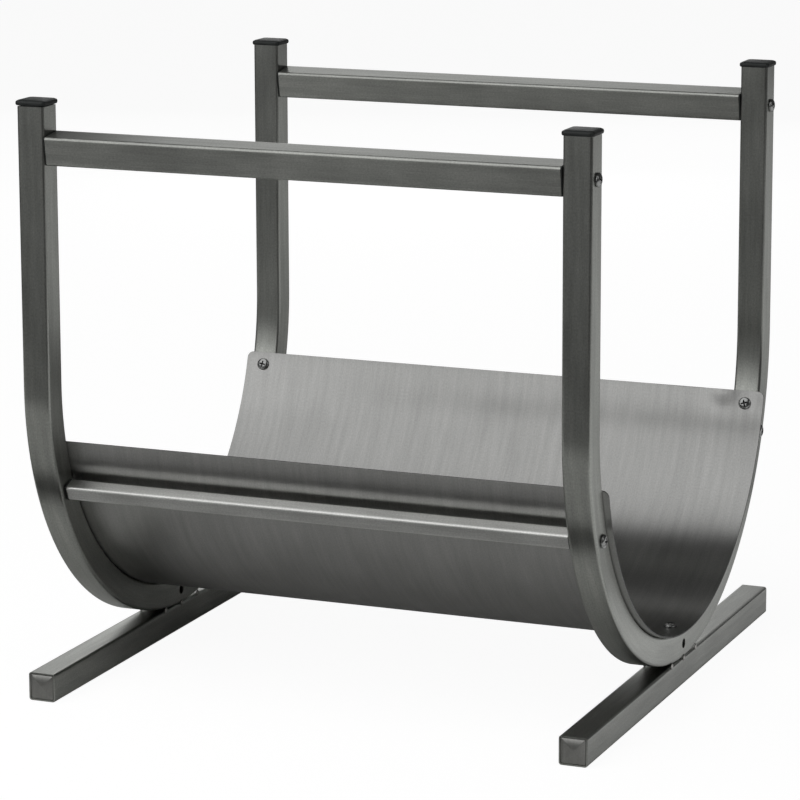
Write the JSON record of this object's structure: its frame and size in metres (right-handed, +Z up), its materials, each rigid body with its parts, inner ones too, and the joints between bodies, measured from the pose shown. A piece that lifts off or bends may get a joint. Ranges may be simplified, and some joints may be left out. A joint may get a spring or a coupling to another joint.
{
  "type": "firewood log rack",
  "caption": "Freestanding firewood rack: U-shaped square-tube hoops on flat feet, joined by straight bars, with a curved sheet cradle for logs.",
  "frame": {"origin": "on the floor, at the centre of the rack's footprint", "axes": "+Z up; X along the bars and the logs, -X is the left hoop; -Y is the front"},
  "size_m": [0.531, 0.5151, 0.5325],
  "materials": {
    "tube_steel": "dark pewter, brushed along each tube, clear lacquer",
    "sheet_steel": "dark pewter, brushed round the bend, clear lacquer",
    "black_plastic": "satin moulded plastic",
    "dark_fastener": "black nickel plated, glossy",
    "nut_steel": "zinc plated",
    "weld_steel": "brushed weld bead"
  },
  "bodies": {
    "root": {"left_hoop": "tube_steel", "left_foot": "tube_steel", "left_foot_front_plate": "tube_steel", "left_foot_rear_plate": "tube_steel", "right_hoop": "tube_steel", "right_foot": "tube_steel", "right_foot_front_plate": "tube_steel", "right_foot_rear_plate": "tube_steel", "left_outer_tack_weld_1": "weld_steel", "left_outer_tack_weld_2": "weld_steel", "left_outer_tack_weld_3": "weld_steel", "left_inner_tack_weld_1": "weld_steel", "left_inner_tack_weld_2": "weld_steel", "left_inner_tack_weld_3": "weld_steel", "right_outer_tack_weld_1": "weld_steel", "right_outer_tack_weld_2": "weld_steel", "right_outer_tack_weld_3": "weld_steel", "right_inner_tack_weld_1": "weld_steel", "right_inner_tack_weld_2": "weld_steel", "right_inner_tack_weld_3": "weld_steel", "front_top_bar": "tube_steel", "front_top_bar_left_plug": "black_plastic", "front_top_bar_left_bolt": "dark_fastener", "front_top_bar_right_plug": "black_plastic", "front_top_bar_right_bolt": "dark_fastener", "front_lower_bar": "tube_steel", "front_lower_bar_left_plug": "black_plastic", "front_lower_bar_left_bolt": "dark_fastener", "front_lower_bar_right_plug": "black_plastic", "front_lower_bar_right_bolt": "dark_fastener", "rear_top_bar": "tube_steel", "rear_top_bar_left_plug": "black_plastic", "rear_top_bar_left_bolt": "dark_fastener", "rear_top_bar_right_plug": "black_plastic", "rear_top_bar_right_bolt": "dark_fastener", "rear_lower_bar": "tube_steel", "rear_lower_bar_left_plug": "black_plastic", "rear_lower_bar_left_bolt": "dark_fastener", "rear_lower_bar_right_plug": "black_plastic", "rear_lower_bar_right_bolt": "dark_fastener", "cradle_sheet": "sheet_steel", "sheet_screw_left_front": "dark_fastener", "rivet_nut_left_front": "nut_steel", "sheet_screw_left_bottom": "dark_fastener", "rivet_nut_left_bottom": "nut_steel", "sheet_screw_left_rear": "dark_fastener", "rivet_nut_left_rear": "nut_steel", "sheet_screw_right_front": "dark_fastener", "rivet_nut_right_front": "nut_steel", "sheet_screw_right_bottom": "dark_fastener", "rivet_nut_right_bottom": "nut_steel", "sheet_screw_right_rear": "dark_fastener", "rivet_nut_right_rear": "nut_steel", "left_front_post_cap": "black_plastic", "left_rear_post_cap": "black_plastic", "right_front_post_cap": "black_plastic", "right_rear_post_cap": "black_plastic"}
  },
  "joints": []
}
